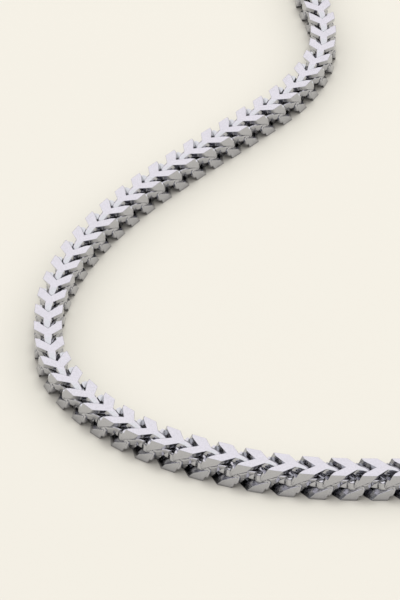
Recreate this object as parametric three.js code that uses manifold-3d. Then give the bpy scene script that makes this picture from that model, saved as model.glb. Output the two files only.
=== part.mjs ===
// Franco chain necklace: a heavy square steel chain lying in a loop on a flat surface.
// Millimetres, +Z up. The surface is z = 0, and the origin is under the middle of the loop.

import * as THREE from 'three';
import { mergeVertices } from 'three/addons/utils/BufferGeometryUtils.js';
import Module from 'manifold-3d';

// Driving dimensions

const LOOP_WIDTH = 137;         // the loop as it lies, between middle lines
const LOOP_LENGTH = 218;
const CHAIN_WIDTH = 6.0;        // across the chain, level
const CHAIN_HEIGHT = 6.0;       // from the surface to the filed top faces
const CORNER_CUT = 0.7;         // how far the four long corners are taken off
const STEP_IN_WIDTHS = 1.2;     // length of one straight step of the chain's body, in chain widths
const NODE_GAP = 0.3;           // clear space left where the two halves of the chain meet
const SEAM_PLACE = 0.47;        // where the halves meet, as a share of the way round from the clasp

const RING_WIRE = 1.2;          // thickness of the two oval rings beside the clasp
const RING_HEIGHT = 5.8;        // outside height of a ring, which stands on edge
const RING_REACH = 6.0;         // between the middles of a ring's two ends

const EYE_THICKNESS = 1.4;      // flat eye soldered to each end of the chain
const EYE_RIM = 0.95;           // metal round an eye's hole
const RING_PLAY = 0.62;         // clear space round a ring's wire in an eye or in the clasp
const EYE_NECK = 0.4;           // from the eye's outside to the end of the chain
const EYE_ROOT = 1.6;           // how deep the eye's stem is let into the chain

const CLASP_LENGTH = 15.6;      // overall
const CLASP_WIDTH = 7.2;        // at the widest, across the hook's bow
const CLASP_THICKNESS = 3.0;
const CLASP_TAIL_RIM = 1.0;     // metal round the hole at the tail
const CLASP_BOW_RIM = 1.5;      // metal round the hook's opening
const CLASP_OPENING_LENGTH = 6.6;
const CLASP_OPENING_WIDTH = 3.4;
const EDGE_ROUNDING = 0.35;     // rounding on the edges of the rings, eyes and clasp

const ARC_STEPS = 7;            // fineness of the round parts of an outline

// Route of the chain's middle line, seen from above: x in shares of LOOP_WIDTH and y in shares
// of LOOP_LENGTH. The first two points lie on one straight line with their neighbours, and the
// clasp lies midway between them.
const ROUTE = [
  { x: 0.774, y: 0.199 },
  { x: 0.774, y: 0.052 },
  { x: 0.774, y: -0.095 },
  { x: 0.708, y: -0.199 },
  { x: 0.584, y: -0.271 },
  { x: 0.431, y: -0.301 },
  { x: 0.274, y: -0.305 },
  { x: 0.142, y: -0.301 },
  { x: 0.028, y: -0.281 },
  { x: -0.086, y: -0.241 },
  { x: -0.168, y: -0.186 },
  { x: -0.215, y: -0.128 },
  { x: -0.2255, y: -0.056 },
  { x: -0.209, y: 0.013 },
  { x: -0.17, y: 0.08 },
  { x: -0.102, y: 0.154 },
  { x: -0.017, y: 0.223 },
  { x: 0.0715, y: 0.288 },
  { x: 0.152, y: 0.354 },
  { x: 0.1985, y: 0.426 },
  { x: 0.202, y: 0.4935 },
  { x: 0.1825, y: 0.563 },
  { x: 0.192, y: 0.621 },
  { x: 0.241, y: 0.669 },
  { x: 0.328, y: 0.695 },
  { x: 0.438, y: 0.688 },
  { x: 0.562, y: 0.6385 },
  { x: 0.672, y: 0.554 },
  { x: 0.745, y: 0.45 },
  { x: 0.774, y: 0.346 },
];

// Steel colours

const STEEL = { color: 0xd6d6da, roughness: 0.2, metalness: 1.0 };
const CLASP_STEEL = { color: 0xcfcfd3, roughness: 0.24, metalness: 1.0 };

const wasm = await Module();
wasm.setup();

// A closed geometry as a solid that can be joined.
function toSolid(geometry) {
  const bare = geometry.clone();
  bare.deleteAttribute('normal');
  bare.deleteAttribute('uv');
  const merged = mergeVertices(bare, 1e-5);
  return new wasm.Manifold(new wasm.Mesh({
    numProp: 3,
    vertProperties: new Float32Array(merged.attributes.position.array),
    triVerts: new Uint32Array(merged.index.array),
  }));
}

function toGeometry(solid) {
  const mesh = solid.getMesh();
  const geometry = new THREE.BufferGeometry();
  geometry.setAttribute('position', new THREE.BufferAttribute(mesh.vertProperties, 3));
  geometry.setIndex(new THREE.BufferAttribute(mesh.triVerts, 1));
  geometry.computeVertexNormals();
  return geometry;
}

function joined(geometries) {
  return toGeometry(geometries.map(toSolid).reduce((all, next) => all.add(next)));
}

// The closed route, moved so that its outline is centred on the origin.
function centredRoute() {
  const points = ROUTE.map((p) => (
    new THREE.Vector3(p.x * LOOP_WIDTH, p.y * LOOP_LENGTH, CHAIN_HEIGHT / 2)));
  const curve = new THREE.CatmullRomCurve3(points, true, 'centripetal');
  const box = new THREE.Box3().setFromPoints(curve.getSpacedPoints(600));
  const shift = box.getCenter(new THREE.Vector3()).setZ(0);
  points.forEach((p) => p.sub(shift));
  const moved = new THREE.CatmullRomCurve3(points, true, 'centripetal');
  moved.arcLengthDivisions = 3000;
  return moved;
}

// A stretch of the route between two distances from its first point.
class Stretch extends THREE.Curve {
  constructor(route, from, to) {
    super();
    this.route = route;
    this.from = from;
    this.to = to;
  }

  getPoint(t, target = new THREE.Vector3()) {
    const distance = this.from + (this.to - this.from) * t;
    return this.route.getPointAt((distance / this.route.getLength()) % 1, target);
  }

  getTangent(t, target = new THREE.Vector3()) {
    const distance = this.from + (this.to - this.from) * t;
    return this.route.getTangentAt((distance / this.route.getLength()) % 1, target);
  }
}

// Square section of the chain with its corners taken off.
function chainSection() {
  const half = { w: CHAIN_WIDTH / 2, h: CHAIN_HEIGHT / 2 };
  const shape = new THREE.Shape();
  shape.moveTo(half.h - CORNER_CUT, -half.w);
  shape.lineTo(half.h, -half.w + CORNER_CUT);
  shape.lineTo(half.h, half.w - CORNER_CUT);
  shape.lineTo(half.h - CORNER_CUT, half.w);
  shape.lineTo(-half.h + CORNER_CUT, half.w);
  shape.lineTo(-half.h, half.w - CORNER_CUT);
  shape.lineTo(-half.h, -half.w + CORNER_CUT);
  shape.lineTo(-half.h + CORNER_CUT, -half.w);
  shape.closePath();
  return shape;
}

function chainBody(route, from, to) {
  const stretch = new Stretch(route, from, to);
  const steps = Math.max(2, Math.round((to - from) / (STEP_IN_WIDTHS * CHAIN_WIDTH)));
  return new THREE.ExtrudeGeometry(chainSection(), { steps, extrudePath: stretch });
}

// A flat outline made into a plate with rounded edges, centred on its own mid plane.
function plate(shape, thickness) {
  const geometry = new THREE.ExtrudeGeometry(shape, {
    depth: thickness - 2 * EDGE_ROUNDING,
    bevelEnabled: true,
    bevelThickness: EDGE_ROUNDING,
    bevelSize: EDGE_ROUNDING,
    bevelOffset: -EDGE_ROUNDING,
    bevelSegments: 2,
    curveSegments: ARC_STEPS,
  });
  return geometry.translate(0, 0, EDGE_ROUNDING - thickness / 2);
}

function roundHole(x, radius) {
  const hole = new THREE.Path();
  hole.absarc(x, 0, radius, 0, 2 * Math.PI, true);
  return hole;
}

const HOLE_RADIUS = RING_WIRE / 2 + RING_PLAY;
const EYE_RADIUS = HOLE_RADIUS + EYE_RIM;

// Places along the straight line through the clasp, measured from the clasp's middle.
const TAIL_HOLE = -(CLASP_LENGTH / 2 - CLASP_TAIL_RIM - HOLE_RADIUS);
const BOW_RING = CLASP_LENGTH / 2 - CLASP_BOW_RIM - HOLE_RADIUS;
const START_EYE = BOW_RING + RING_REACH;
const END_EYE = TAIL_HOLE - RING_REACH;
const CHAIN_START = START_EYE + EYE_RADIUS + EYE_NECK;
const CHAIN_END = END_EYE - EYE_RADIUS - EYE_NECK;

// A round eye with a stem that runs back into the chain. side is +1 or -1 along the line.
function endEye(x, side) {
  const stemHalf = EYE_RADIUS * 0.8;
  const stemEnd = EYE_RADIUS + EYE_NECK + EYE_ROOT;
  const bend = Math.acos(stemHalf / EYE_RADIUS);
  const shape = new THREE.Shape();
  shape.moveTo(stemEnd, -stemHalf);
  shape.lineTo(stemEnd, stemHalf);
  shape.absarc(0, 0, EYE_RADIUS, Math.PI / 2 - bend, 1.5 * Math.PI + bend, false);
  shape.closePath();
  shape.holes.push(roundHole(0, HOLE_RADIUS));
  const geometry = plate(shape, EYE_THICKNESS);
  if (side < 0) geometry.rotateZ(Math.PI);
  return geometry.translate(x, 0, 0);
}

// An oval of two half circles, drawn round two middles on the x axis.
function ovalPath(path, reach, radius, clockwise) {
  const x = reach / 2;
  const quarter = Math.PI / 2;
  if (clockwise) {
    path.absarc(x, 0, radius, quarter, -quarter, true);
    path.absarc(-x, 0, radius, -quarter, -3 * quarter, true);
  } else {
    path.absarc(x, 0, radius, -quarter, quarter, false);
    path.absarc(-x, 0, radius, quarter, 3 * quarter, false);
  }
  path.closePath();
  return path;
}

// An oval ring that stands on edge along the line, its ends at x and x + RING_REACH.
function ovalRing(x) {
  const outer = RING_HEIGHT / 2;
  const inner = outer - RING_WIRE;
  const reach = RING_REACH + RING_WIRE - RING_HEIGHT;
  const shape = ovalPath(new THREE.Shape(), reach, outer, false);
  shape.holes.push(ovalPath(new THREE.Path(), reach, inner, true));
  return plate(shape, RING_WIRE).rotateX(Math.PI / 2).translate(x + RING_REACH / 2, 0, 0);
}

// The clasp seen from above: a narrow tail with a hole and a wide bow with the hook's opening.
function claspPlate() {
  const bowRadius = CLASP_WIDTH / 2;
  const tailRadius = HOLE_RADIUS + CLASP_TAIL_RIM;
  const bowX = CLASP_LENGTH / 2 - bowRadius;
  const span = bowX - TAIL_HOLE;
  const lean = Math.acos((bowRadius - tailRadius) / span);
  const shape = new THREE.Shape();
  shape.absarc(bowX, 0, bowRadius, -(Math.PI - lean), Math.PI - lean, false);
  shape.absarc(TAIL_HOLE, 0, tailRadius, Math.PI - lean, Math.PI + lean, false);
  shape.closePath();
  shape.holes.push(roundHole(TAIL_HOLE, HOLE_RADIUS));
  const openingRadius = CLASP_OPENING_WIDTH / 2;
  const opening = new THREE.Path();
  ovalPath(opening, CLASP_OPENING_LENGTH - CLASP_OPENING_WIDTH, openingRadius, true);
  const middle = CLASP_LENGTH / 2 - CLASP_BOW_RIM - CLASP_OPENING_LENGTH / 2;
  const points = opening.getPoints(ARC_STEPS).map((p) => new THREE.Vector2(p.x + middle, p.y));
  shape.holes.push(new THREE.Path(points));
  return plate(shape, CLASP_THICKNESS);
}

// Turns and moves a geometry from the clasp's line onto the route, between its first two points.
function onClaspLine(route, geometry) {
  const [first, second] = route.points;
  const middle = first.clone().add(second).multiplyScalar(0.5);
  const turn = Math.atan2(second.y - first.y, second.x - first.x);
  return geometry.rotateZ(turn).translate(middle.x, middle.y, middle.z);
}

const chainSteel = new THREE.MeshStandardMaterial(STEEL);
const claspSteel = new THREE.MeshStandardMaterial(CLASP_STEEL);
const necklace = new THREE.Group();

function addPiece(name, geometry, material) {
  const mesh = new THREE.Mesh(geometry, material);
  mesh.name = name;
  necklace.add(mesh);
}

const route = centredRoute();
const claspMiddle = route.points[0].distanceTo(route.points[1]) / 2;
const chainFrom = claspMiddle + CHAIN_START;
const chainTo = route.getLength() + claspMiddle + CHAIN_END;
const seam = chainFrom + (chainTo - chainFrom) * SEAM_PLACE;

const frontEye = onClaspLine(route, endEye(START_EYE, 1));
const backEye = onClaspLine(route, endEye(END_EYE, -1));
const frontBody = chainBody(route, chainFrom, seam - NODE_GAP / 2);
const backBody = chainBody(route, seam + NODE_GAP / 2, chainTo);

addPiece('chain_front', joined([frontBody, frontEye]), chainSteel);
addPiece('chain_back', joined([backBody, backEye]), chainSteel);
addPiece('ring_front', onClaspLine(route, ovalRing(BOW_RING)), claspSteel);
addPiece('ring_back', onClaspLine(route, ovalRing(END_EYE)), claspSteel);
addPiece('clasp', onClaspLine(route, claspPlate()), claspSteel);

export default necklace;
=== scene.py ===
# Franco chain necklace lying in a loop on a pale surface. Metres, +Z up.

import bisect
import math

import bmesh
import bpy
from mathutils import Matrix, Vector

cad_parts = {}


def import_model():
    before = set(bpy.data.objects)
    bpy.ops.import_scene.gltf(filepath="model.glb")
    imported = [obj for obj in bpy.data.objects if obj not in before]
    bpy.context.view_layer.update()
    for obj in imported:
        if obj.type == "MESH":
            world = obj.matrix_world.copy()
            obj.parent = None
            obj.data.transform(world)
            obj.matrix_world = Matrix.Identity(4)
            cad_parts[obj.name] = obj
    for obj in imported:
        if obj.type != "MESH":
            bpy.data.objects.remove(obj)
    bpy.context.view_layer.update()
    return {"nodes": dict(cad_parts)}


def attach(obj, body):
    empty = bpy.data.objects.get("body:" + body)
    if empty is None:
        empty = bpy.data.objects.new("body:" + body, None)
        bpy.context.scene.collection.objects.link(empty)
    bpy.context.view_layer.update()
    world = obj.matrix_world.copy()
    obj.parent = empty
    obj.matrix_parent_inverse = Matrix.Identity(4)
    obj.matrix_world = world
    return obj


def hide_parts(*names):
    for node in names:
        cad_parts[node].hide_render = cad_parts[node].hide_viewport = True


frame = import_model()

MM = 0.001

# Sizes of the chain, in millimetres. The route and the places of the ends are those of the
# part's source. The links are a little narrower than its bar, so that they stay inside it.
LOOP_WIDTH = 137.0
LOOP_LENGTH = 218.0
WIDTH = 5.94
HEIGHT = 6.0
STEP = 5.91                 # from one upper link to the next
LOWER_SHIFT = 0.45          # lower links after the upper ones, in chain widths
CLASP_TO_START = 13.65      # from the clasp's middle to where the chain begins
CLASP_TO_END = 14.15        # and back to where it ends
FIRST_LINK = 6.96           # from there to the place of the first upper link
LAST_REACH = 4.3            # what the last upper link needs before the chain's end
EYE_TO_CAP = 2.57           # from the middle of an end's eye to its cap
EYE_RADIUS = 2.17
EYE_THICKNESS = 1.4
EYE_SIDES = 48
HOLE_RADIUS = 1.22
STEM_FROM = 0.6 * EYE_RADIUS
STEM_WIDTH = 1.6 * EYE_RADIUS
STEM_INSIDE = 0.6           # how far the eye's stem reaches into the cap
START_EYE = CLASP_TO_START - EYE_TO_CAP
END_EYE = -CLASP_TO_END + EYE_TO_CAP
CAP_LENGTH = 3.6
CAP_ROUNDING = 0.45
CAP_EDGE_ROUNDING = 0.14    # at the rims of the eye and its hole
CAP_EDGE_ANGLE = math.radians(50)
SEAM_PLACE = 0.47           # where the two halves meet, as a share of the chain's length
FINE_STEPS = 60             # straight pieces between two points of the route

# Route of the chain's middle line, seen from above, repeated from the part's source: x in
# shares of LOOP_WIDTH and y in shares of LOOP_LENGTH
ROUTE = [
    (0.774, 0.199), (0.774, 0.052), (0.774, -0.095), (0.708, -0.199), (0.584, -0.271),
    (0.431, -0.301), (0.274, -0.305), (0.142, -0.301), (0.028, -0.281), (-0.086, -0.241),
    (-0.168, -0.186), (-0.215, -0.128), (-0.2255, -0.056), (-0.209, 0.013), (-0.17, 0.08),
    (-0.102, 0.154), (-0.017, 0.223), (0.0715, 0.288), (0.152, 0.354), (0.1985, 0.426),
    (0.202, 0.4935), (0.1825, 0.563), (0.192, 0.621), (0.241, 0.669), (0.328, 0.695),
    (0.438, 0.688), (0.562, 0.6385), (0.672, 0.554), (0.745, 0.45), (0.774, 0.346),
]

# Both steels: scratch_depth is in metres, and the last value is the colour of the painted shade
# in the darkest recesses, as a share of the base colour
POLISHED_STEEL = {
    "base": (0.524, 0.526, 0.558), "roughness": 0.15, "scratch_depth": 0.000007, "recess_shade": 0.16}
CLASP_STEEL = {
    "base": (0.55, 0.55, 0.56), "roughness": 0.12, "scratch_depth": 0.000005, "recess_shade": 0.4}

# What both steels share. Scales are in waves for each metre, and tones are shares of the base
# colour. Each noise is spread from the values named NOISE to the ones wanted.
PATCH_SCALE = 420           # patches of better and worse polish
PATCH_DETAIL = 4
PATCH_NOISE = (0.3, 0.7)
POLISH_RANGE = (0.7, 1.4)   # roughness in them, as shares of the steel's own
SCRATCH_ANGLES = (25, 100)  # directions of the fine scratches, in degrees
SCRATCH_TILT = (0.3, 0.2)   # and how far they lean out of the level, in radians
SCRATCH_SCALE = 300
SCRATCH_DETAIL = 3
SCRATCH_WIDTH = 0.05        # as a share of their length
STREAK_NOISE = (0.8, 1.2)
STREAK_TONES = (0.95, 1.04)
SIDE_FACING = (0.3, 0.95)   # how far up a side and a top face flattened by filing point, 1 being straight up
# Painted shade: faces that point sideways or down get a darker base colour than the top faces
SIDE_SHADE_TONES = (0.95, 1.0)
RECESS_REACH = 0.0009       # how far apart faces cast painted shade on each other, in metres
RECESS_FROM = 0.28          # openness at which the painted shade is darkest
RECESS_TO = 0.76            # and at which it has the base colour
SHADE_SAMPLES = 6

# Camera, aimed at the route's own zero. The distance is in metres, the sensor in millimetres.
CAMERA_ELEVATION = math.radians(34.1)
CAMERA_DISTANCE = 0.86
PIXELS_PER_MM = 4.82        # at the middle of the picture
IMAGE_HEIGHT = 600
SENSOR = 36.0

# Colour of the sky by height: the sine of the angle above the horizon, then red, green, blue
SKY = [
    (0.0, (0.10, 0.10, 0.10)),
    (0.25, (0.16, 0.16, 0.165)),
    (0.46, (1.0, 0.96, 0.985)),
    (0.66, (1.0, 0.96, 0.985)),
    (0.85, (0.95, 0.95, 0.95)),
]
SKY_STRENGTH = 1.45

# Lamp and floor, in metres and watts
LAMP_PLACE = (0.1, 0.25, 1.7)
LAMP_SIZE = (0.8, 0.7)
LAMP_POWER = 14
FLOOR_SIZE = 3              # from the middle to each side
FLOOR_COLOUR = (0.534, 0.52, 0.462, 1)
FLOOR_ROUGHNESS = 0.9

# One upper link in chain widths: x runs along the chain, y across and z up.
# Planes that cut the near arm of the V out of a block, each given as a point and the direction
# that is taken off.
ARM_CUTS = [
    ((0.33, -0.496, 0.50), (-0.617, 0.747, 0.250)),     # inner side of the V
    ((0.43, -0.496, 0.50), (-0.799, 0.479, 0.361)),     # blunt end
    ((0.95, -0.496, 0.50), (0.623, -0.604, -0.497)),    # outer side, leaning in
    ((0.25, -0.496, 0.01), (0.411, -0.397, -0.821)),    # underside, rising along the outer side
    ((0.25, -0.496, 0.01), (0.000, 0.554, -0.833)),     # underside near the nose
    ((0.21, -0.496, 0.07), (-0.640, 0.000, -0.770)),    # lowest corner
]
# Middle line of the near half of the wire, from inside the arm down its leg and back towards
# the nose. side and up are half sizes. The last row lies past the middle plane.
WIRE_PATH = [
    {"x": 0.36, "y": -0.37, "z": 0.28, "side": 0.11, "up": 0.11},
    {"x": 0.29, "y": -0.37, "z": 0.12, "side": 0.11, "up": 0.11},
    {"x": 0.30, "y": -0.345, "z": -0.01, "side": 0.105, "up": 0.11},
    {"x": 0.42, "y": -0.32, "z": -0.02, "side": 0.105, "up": 0.15},
    {"x": 0.61, "y": -0.29, "z": 0.01, "side": 0.11, "up": 0.17},
    {"x": 0.74, "y": -0.18, "z": 0.04, "side": 0.11, "up": 0.15},
    {"x": 0.94, "y": -0.13, "z": 0.04, "side": 0.11, "up": 0.14},
    {"x": 1.12, "y": 0.00, "z": -0.04, "side": 0.12, "up": 0.14},
    {"x": 1.15, "y": 0.12, "z": -0.06, "side": 0.12, "up": 0.14},
]
# Middle line of the nose, from where the arms meet forwards and down
NOSE_PATH = [
    {"x": 1.00, "y": 0.0, "z": 0.38, "side": 0.12, "up": 0.13},
    {"x": 1.30, "y": 0.0, "z": 0.385, "side": 0.15, "up": 0.13},
    {"x": 1.50, "y": 0.0, "z": 0.35, "side": 0.125, "up": 0.125},
    {"x": 1.64, "y": 0.0, "z": 0.27, "side": 0.12, "up": 0.115},
    {"x": 1.70, "y": 0.0, "z": 0.15, "side": 0.11, "up": 0.10},
    {"x": 1.68, "y": 0.0, "z": 0.03, "side": 0.09, "up": 0.08},
]
LINK_MIDDLE = 0.64          # the x that sits on the route's own place
BLOCK_SIZE = 4
TOP_CUT = 0.5
SIDE_CUT = 0.486
WIRE_SIDES = 14
WIRE_STEPS = 3              # sections from one row of a path to the next
WIRE_SQUARENESS = 4.5       # 2 is an ellipse, more is squarer
EDGE_ROUNDING = 0.018
EDGE_ANGLE = math.radians(32)
FLAT_AREA = 0.012           # faces larger than this are flats with crisp edges
NEAR_CORNERS = 0.002        # corners closer than this become one
SAME_PLACE = 1e-5


def catmull(p0, p1, p2, p3, t):
    """Point between p1 and p2 on a centripetal Catmull-Rom curve through all four."""
    d0 = max((p1 - p0).length ** 0.5, 1e-6)
    d1 = max((p2 - p1).length ** 0.5, 1e-6)
    d2 = max((p3 - p2).length ** 0.5, 1e-6)
    m1 = ((p1 - p0) / d0 - (p2 - p0) / (d0 + d1) + (p2 - p1) / d1) * d1
    m2 = ((p2 - p1) / d1 - (p3 - p1) / (d1 + d2) + (p3 - p2) / d2) * d1
    a = 2 * p1 - 2 * p2 + m1 + m2
    b = -3 * p1 + 3 * p2 - 2 * m1 - m2
    return a * t ** 3 + b * t ** 2 + m1 * t + p1


class Route:
    """The closed route in metres, measured by distance from its first point."""

    def __init__(self):
        points = [Vector((x * LOOP_WIDTH, y * LOOP_LENGTH, HEIGHT / 2)) for x, y in ROUTE]
        count = len(points)
        fine = []
        for i in range(count):
            four = [points[(i + k) % count] for k in (-1, 0, 1, 2)]
            fine += [catmull(*four, t / FINE_STEPS) for t in range(FINE_STEPS)]
        low = Vector(min(p[k] for p in fine) for k in range(3))
        high = Vector(max(p[k] for p in fine) for k in range(3))
        shift = (low + high) / 2
        shift.z = 0
        self.shift = shift * MM
        self.points = [(p - shift) * MM for p in fine]
        self.lengths = [0.0]
        for p, q in zip(self.points, self.points[1:] + self.points[:1]):
            self.lengths.append(self.lengths[-1] + (q - p).length)
        self.total = self.lengths[-1]
        self.corner = self.points[0]
        self.next_corner = self.points[FINE_STEPS]

    def at(self, distance):
        """Point at a distance along the route."""
        distance %= self.total
        low = bisect.bisect_right(self.lengths, distance) - 1
        p = self.points[low]
        q = self.points[(low + 1) % len(self.points)]
        span = self.lengths[low + 1] - self.lengths[low]
        return p.lerp(q, (distance - self.lengths[low]) / span)

    def turn(self, distance):
        """Direction of the links' noses, which point back along the route."""
        reach = 0.5 * STEP * MM
        back = self.at(distance - reach) - self.at(distance + reach)
        return math.atan2(back.y, back.x)


route = Route()
clasp_middle = (route.next_corner - route.corner).length / 2
chain_from = clasp_middle + CLASP_TO_START * MM
chain_to = route.total + clasp_middle - CLASP_TO_END * MM
seam = chain_from + (chain_to - chain_from) * SEAM_PLACE


# Link meshes


def section(row, tangent, up):
    """Points round the wire at one row of its path, in a rounded square."""
    side = tangent.cross(up).normalized()
    lift = side.cross(tangent).normalized()
    centre = Vector((row["x"], row["y"], row["z"]))
    points = []
    for k in range(WIRE_SIDES):
        angle = 2 * math.pi * (k + 0.5) / WIRE_SIDES
        across, above = (
            math.copysign(abs(v) ** (2 / WIRE_SQUARENESS), v)
            for v in (math.cos(angle), math.sin(angle)))
        points.append(centre + side * (across * row["side"]) + lift * (above * row["up"]))
    return points


def smooth_rows(rows):
    """The rows of an open path with others filled in between."""
    filled = []
    for i in range(len(rows) - 1):
        four = [rows[max(i - 1, 0)], rows[i], rows[i + 1], rows[min(i + 2, len(rows) - 1)]]
        places = [Vector((r["x"], r["y"], r["z"])) for r in four]
        for step in range(WIRE_STEPS):
            t = step / WIRE_STEPS
            row = {k: four[1][k] + (four[2][k] - four[1][k]) * t for k in rows[0]}
            row["x"], row["y"], row["z"] = catmull(*places, t)
            filled.append(row)
    return filled + [rows[-1]]


def sweep(path):
    """Wire of changing section along an open path, closed at both ends."""
    bm = bmesh.new()
    rows = smooth_rows(path)
    places = [Vector((r["x"], r["y"], r["z"])) for r in rows]
    rings = []
    side = None
    for i, row in enumerate(rows):
        tangent = (places[min(i + 1, len(rows) - 1)] - places[max(i - 1, 0)]).normalized()
        up = side.cross(tangent).normalized() if side else Vector((0, 0, 1))
        side = tangent.cross(up).normalized()
        rings.append([bm.verts.new(p) for p in section(row, tangent, up)])
    for a, b in zip(rings, rings[1:]):
        for k in range(WIRE_SIDES):
            n = (k + 1) % WIRE_SIDES
            bm.faces.new((a[k], a[n], b[n], b[k]))
    bm.faces.new(list(reversed(rings[0])))
    bm.faces.new(rings[-1])
    bmesh.ops.recalc_face_normals(bm, faces=bm.faces)
    return bm


def cut(bm, point, normal, filled=True):
    """Takes off what stands past a plane, and fills the flat that is left."""
    geometry = list(bm.verts) + list(bm.edges) + list(bm.faces)
    done = bmesh.ops.bisect_plane(
        bm, geom=geometry, dist=1e-6, plane_co=point, plane_no=normal, clear_outer=True)
    if filled:
        edges = [e for e in done["geom_cut"] if isinstance(e, bmesh.types.BMEdge)]
        bmesh.ops.contextual_create(bm, geom=edges)


def add_object(name, data):
    made = bpy.data.objects.new(name, data)
    bpy.context.scene.collection.objects.link(made)
    return made


def to_mesh(bm, name):
    mesh = bpy.data.meshes.new(name)
    bm.to_mesh(mesh)
    bm.free()
    return mesh


def to_object(bm, name):
    bmesh.ops.recalc_face_normals(bm, faces=bm.faces)
    return add_object(name, to_mesh(bm, name))


def both_halves(bm):
    """Cuts the near half at the middle plane and adds its mirror image."""
    cut(bm, Vector((0, 0, 0)), Vector((0, 1, 0)), filled=False)
    parts = list(bm.verts) + list(bm.edges) + list(bm.faces)
    bmesh.ops.mirror(bm, geom=parts, axis="Y", merge_dist=SAME_PLACE)
    bmesh.ops.remove_doubles(bm, verts=bm.verts, dist=SAME_PLACE)
    bmesh.ops.recalc_face_normals(bm, faces=bm.faces)


def round_edges(bm):
    """Rounds every sharp edge, as far as the short ones leave room."""
    bmesh.ops.remove_doubles(bm, verts=bm.verts, dist=NEAR_CORNERS)
    edges = [e for e in bm.edges if e.calc_face_angle(0) > EDGE_ANGLE]
    bmesh.ops.bevel(
        bm, geom=edges, offset=EDGE_ROUNDING, segments=3, profile=0.5,
        affect="EDGES", clamp_overlap=True)


def arms_object():
    """Both arms of the V, flattened by filing, cut out of a block."""
    bm = bmesh.new()
    bmesh.ops.create_cube(bm, size=BLOCK_SIZE)
    cut(bm, Vector((0, 0, TOP_CUT)), Vector((0, 0, 1)))
    cut(bm, Vector((0, -SIDE_CUT, 0)), Vector((0, -1, 0)))
    for point, normal in ARM_CUTS:
        cut(bm, Vector(point), Vector(normal))
    both_halves(bm)
    round_edges(bm)
    return to_object(bm, "arms")


def wire_object():
    bm = sweep(WIRE_PATH)
    both_halves(bm)
    return to_object(bm, "wire")


def nose_object():
    bm = sweep(NOSE_PATH)
    cut(bm, Vector((0, 0, TOP_CUT)), Vector((0, 0, 1)))
    return to_object(bm, "nose")


def link_mesh():
    """One link as a single body, smooth but for its sharp edges and those of its flats."""
    arms = arms_object()
    others = [wire_object(), nose_object()]
    for other in others:
        union = arms.modifiers.new("union", "BOOLEAN")
        union.operation = "UNION"
        union.solver = "MANIFOLD"
        union.object = other
    graph = bpy.context.evaluated_depsgraph_get()
    mesh = bpy.data.meshes.new_from_object(arms.evaluated_get(graph))
    mesh.name = "link"
    for made in [arms] + others:
        bpy.data.objects.remove(made)
    mesh.set_sharp_from_angle(angle=EDGE_ANGLE)
    bm = bmesh.new()
    bm.from_mesh(mesh)
    for face in bm.faces:
        face.smooth = True
        if face.calc_area() > FLAT_AREA:
            for edge in face.edges:
                edge.smooth = False
    bm.to_mesh(mesh)
    bm.free()
    return mesh


def link_matrix(distance, lower):
    """Where one link stands: its own middle on the route, nose along the chain."""
    place = route.at(distance)
    turn = Matrix.Rotation(route.turn(distance), 4, "Z")
    size = Matrix.Diagonal((WIDTH * MM, WIDTH * MM, HEIGHT * MM, 1))
    middle = Matrix.Translation((-LINK_MIDDLE, 0, 0))
    over = Matrix.Rotation(math.pi, 4, "Y") if lower else Matrix.Identity(4)
    return Matrix.Translation(place) @ turn @ size @ over @ middle


def row_of_links(name, template, start, end, lower):
    """All the links of one row whose places lie between two distances, as one mesh."""
    bm = bmesh.new()
    distance = chain_from + FIRST_LINK * MM
    while distance < chain_to - LAST_REACH * MM:
        place = distance - (LOWER_SHIFT * WIDTH * MM if lower else 0)
        if start <= place < end:
            before = len(bm.verts)
            bm.from_mesh(template)
            bm.verts.ensure_lookup_table()
            bmesh.ops.transform(bm, matrix=link_matrix(place, lower), verts=bm.verts[before:])
        distance += STEP * MM
    return add_object(name, to_mesh(bm, name))


def block(name, low, high):
    bm = bmesh.new()
    bmesh.ops.create_cube(bm, size=1)
    size = [h - l for l, h in zip(low, high)]
    bmesh.ops.scale(bm, vec=size, verts=bm.verts)
    bmesh.ops.translate(bm, vec=(Vector(low) + Vector(high)) / 2, verts=bm.verts)
    return to_object(bm, name)


def cylinder(name, radius, height):
    bm = bmesh.new()
    bmesh.ops.create_cone(
        bm, cap_ends=True, segments=EYE_SIDES, radius1=radius, radius2=radius, depth=height)
    return to_object(bm, name)


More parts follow.
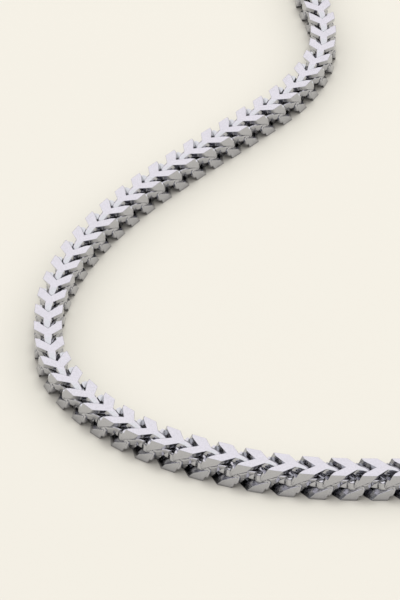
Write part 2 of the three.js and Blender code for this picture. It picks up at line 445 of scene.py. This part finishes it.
def end_cap(name, eye_place, side):
    """The square cap over one end's last links, with its soldered eye.

    It is made with x running to the chain. side is 1 at the chain's start and -1 at its end.
    """
    half = WIDTH / 2
    cap = block(name, (EYE_TO_CAP, -half, -half), (EYE_TO_CAP + CAP_LENGTH, half, half))
    rounding = cap.modifiers.new("rounding", "BEVEL")
    rounding.width = CAP_ROUNDING
    rounding.segments = 3
    stem = block(
        "stem", (STEM_FROM, -STEM_WIDTH / 2, -EYE_THICKNESS / 2),
        (EYE_TO_CAP + STEM_INSIDE, STEM_WIDTH / 2, EYE_THICKNESS / 2))
    eye = cylinder("eye", EYE_RADIUS, EYE_THICKNESS)
    hole = cylinder("hole", HOLE_RADIUS, 3 * EYE_THICKNESS)
    for other, operation in ((stem, "UNION"), (eye, "UNION"), (hole, "DIFFERENCE")):
        change = cap.modifiers.new(other.name, "BOOLEAN")
        change.operation = operation
        change.solver = "MANIFOLD"
        change.object = other
    edges = cap.modifiers.new("edges", "BEVEL")
    edges.width = CAP_EDGE_ROUNDING
    edges.segments = 2
    edges.limit_method = "ANGLE"
    edges.angle_limit = CAP_EDGE_ANGLE
    graph = bpy.context.evaluated_depsgraph_get()
    mesh = bpy.data.meshes.new_from_object(cap.evaluated_get(graph))
    for made in (cap, stem, eye, hole):
        bpy.data.objects.remove(made)
    line = (route.next_corner - route.corner).normalized()
    place = route.corner + line * (clasp_middle + eye_place * MM)
    turn = Matrix.Rotation(math.atan2(line.y * side, line.x * side), 4, "Z")
    mesh.transform(Matrix.Translation(place) @ turn @ Matrix.Diagonal((MM, MM, MM, 1)))
    mesh.materials.clear()
    mesh.shade_smooth()
    mesh.set_sharp_from_angle(angle=EDGE_ANGLE)
    return add_object(name, mesh)


# Materials


def spread(nodes, links, value, found, wanted):
    """A node value taken from one range to another."""
    node = nodes.new("ShaderNodeMapRange")
    node.inputs["From Min"].default_value, node.inputs["From Max"].default_value = found
    node.inputs["To Min"].default_value, node.inputs["To Max"].default_value = wanted
    links.new(value, node.inputs["Value"])
    return node.outputs["Result"]


def scratch_height(nodes, links, place):
    """Sum of two long thin noises, one for each direction of the scratches."""
    both = nodes.new("ShaderNodeMath")
    both.operation = "ADD"
    for angle, slot in zip(SCRATCH_ANGLES, both.inputs):
        mapping = nodes.new("ShaderNodeMapping")
        mapping.vector_type = "TEXTURE"
        mapping.inputs["Rotation"].default_value = (*SCRATCH_TILT, math.radians(angle))
        mapping.inputs["Scale"].default_value = (1.0, SCRATCH_WIDTH, SCRATCH_WIDTH)
        links.new(place.outputs["Object"], mapping.inputs["Vector"])
        scratches = nodes.new("ShaderNodeTexNoise")
        scratches.inputs["Scale"].default_value = SCRATCH_SCALE
        scratches.inputs["Detail"].default_value = SCRATCH_DETAIL
        links.new(mapping.outputs["Vector"], scratches.inputs["Vector"])
        links.new(scratches.outputs["Fac"], slot)
    return both.outputs["Value"]


def steel_material(name, base, roughness, scratch_depth, recess_shade):
    """Polished steel with fine scratches and uneven polish, and painted shade in its colour:
    darker in recesses and on faces that point sideways or down.
    """
    material = bpy.data.materials.new(name)
    material.use_nodes = True
    nodes = material.node_tree.nodes
    links = material.node_tree.links
    shader = nodes["Principled BSDF"]
    shader.inputs["Metallic"].default_value = 1.0
    place = nodes.new("ShaderNodeTexCoord")

    patches = nodes.new("ShaderNodeTexNoise")
    patches.inputs["Scale"].default_value = PATCH_SCALE
    patches.inputs["Detail"].default_value = PATCH_DETAIL
    links.new(place.outputs["Object"], patches.inputs["Vector"])
    polish = [roughness * share for share in POLISH_RANGE]
    rough = spread(nodes, links, patches.outputs["Fac"], PATCH_NOISE, polish)
    links.new(rough, shader.inputs["Roughness"])

    height = scratch_height(nodes, links, place)
    bump = nodes.new("ShaderNodeBump")
    bump.inputs["Strength"].default_value = 1.0
    bump.inputs["Distance"].default_value = scratch_depth
    links.new(height, bump.inputs["Height"])
    links.new(bump.outputs["Normal"], shader.inputs["Normal"])

    # Painted shade: the base colour is darker on faces that point sideways or down than on the
    # top faces
    facing = nodes.new("ShaderNodeSeparateXYZ")
    links.new(place.outputs["Normal"], facing.inputs[0])
    streaks = spread(nodes, links, height, STREAK_NOISE, STREAK_TONES)
    painted_side_shade = spread(nodes, links, facing.outputs["Z"], SIDE_FACING, SIDE_SHADE_TONES)
    brightness = nodes.new("ShaderNodeMath")
    brightness.operation = "MULTIPLY"
    links.new(streaks, brightness.inputs[0])
    links.new(painted_side_shade, brightness.inputs[1])

    # Painted shade: the base colour darkens where nearby faces hide the light
    shade = nodes.new("ShaderNodeAmbientOcclusion")
    shade.samples = SHADE_SAMPLES
    shade.inputs["Distance"].default_value = RECESS_REACH
    painted_shade_ramp = nodes.new("ShaderNodeValToRGB")
    painted_shade_ramp.color_ramp.elements[0].position = RECESS_FROM
    painted_shade_ramp.color_ramp.elements[0].color = (*(c * recess_shade for c in base), 1)
    painted_shade_ramp.color_ramp.elements[1].position = RECESS_TO
    painted_shade_ramp.color_ramp.elements[1].color = (*base, 1)
    links.new(shade.outputs["AO"], painted_shade_ramp.inputs["Fac"])
    streaked = nodes.new("ShaderNodeVectorMath")
    streaked.operation = "SCALE"
    links.new(painted_shade_ramp.outputs["Color"], streaked.inputs["Vector"])
    links.new(brightness.outputs["Value"], streaked.inputs["Scale"])
    links.new(streaked.outputs["Vector"], shader.inputs["Base Color"])
    return material


steel = steel_material("polished_steel", **POLISHED_STEEL)
clasp_steel = steel_material("clasp_steel", **CLASP_STEEL)

# Chain pieces

template = link_mesh()
for half, start, end in (("front", -math.inf, seam), ("back", seam, math.inf)):
    for lower in (False, True):
        name = f"{'lower' if lower else 'upper'}_links_{half}"
        piece = row_of_links(name, template, start, end, lower)
        piece.data.materials.append(steel)
        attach(piece, "root")
        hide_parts(f"chain_{half}")

for half, eye_place, side in (("front", START_EYE, 1), ("back", END_EYE, -1)):
    piece = end_cap(f"end_cap_{half}", eye_place, side)
    piece.data.materials.append(steel)
    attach(piece, "root")
    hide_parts(f"chain_{half}")

for node in ("ring_front", "ring_back", "clasp"):
    for slot in frame["nodes"][node].material_slots:
        slot.material = clasp_steel

# Stage


def floor():
    bm = bmesh.new()
    bmesh.ops.create_grid(bm, x_segments=1, y_segments=1, size=FLOOR_SIZE)
    plane = add_object("floor", to_mesh(bm, "floor"))
    material = bpy.data.materials.new("floor_cream")
    material.use_nodes = True
    shader = material.node_tree.nodes["Principled BSDF"]
    shader.inputs["Base Color"].default_value = FLOOR_COLOUR
    shader.inputs["Roughness"].default_value = FLOOR_ROUGHNESS
    plane.data.materials.append(material)


def area_light(name, place, aim, size, power):
    """Rectangular lamp that lights the floor and doesn't show in the steel."""
    data = bpy.data.lights.new(name, "AREA")
    data.shape = "RECTANGLE"
    data.size, data.size_y = size
    data.energy = power
    lamp = add_object(name, data)
    lamp.visible_glossy = False
    lamp.location = place
    lamp.rotation_euler = (Vector(aim) - Vector(place)).to_track_quat("-Z", "Y").to_euler()


def world():
    """Soft light from above that falls off towards the horizon."""
    scene_world = bpy.data.worlds.new("studio")
    scene_world.use_nodes = True
    nodes = scene_world.node_tree.nodes
    links = scene_world.node_tree.links
    background = nodes["Background"]
    place = nodes.new("ShaderNodeTexCoord")
    parts = nodes.new("ShaderNodeSeparateXYZ")
    ramp = nodes.new("ShaderNodeValToRGB")
    for stop, (position, colour) in zip(list(ramp.color_ramp.elements), SKY[:2]):
        stop.position = position
        stop.color = (*colour, 1)
    for position, colour in SKY[2:]:
        stop = ramp.color_ramp.elements.new(position)
        stop.color = (*colour, 1)
    links.new(place.outputs["Generated"], parts.inputs[0])
    links.new(parts.outputs["Z"], ramp.inputs["Fac"])
    links.new(ramp.outputs["Color"], background.inputs["Color"])
    background.inputs["Strength"].default_value = SKY_STRENGTH
    bpy.context.scene.world = scene_world


def camera():
    data = bpy.data.cameras.new("camera")
    data.sensor_fit = "VERTICAL"
    data.sensor_height = SENSOR
    data.lens = SENSOR * PIXELS_PER_MM * CAMERA_DISTANCE / MM / IMAGE_HEIGHT
    data.clip_start = 0.01
    data.clip_end = 20
    eye = add_object("camera", data)
    aim = -route.shift
    back = Vector((0, -math.cos(CAMERA_ELEVATION), math.sin(CAMERA_ELEVATION)))
    eye.location = aim + back * CAMERA_DISTANCE
    eye.rotation_euler = (math.pi / 2 - CAMERA_ELEVATION, 0, 0)
    bpy.context.scene.camera = eye
    bpy.context.scene.view_settings.view_transform = "Standard"


floor()
area_light("above", LAMP_PLACE, (0, 0, 0), LAMP_SIZE, LAMP_POWER)
world()
camera()
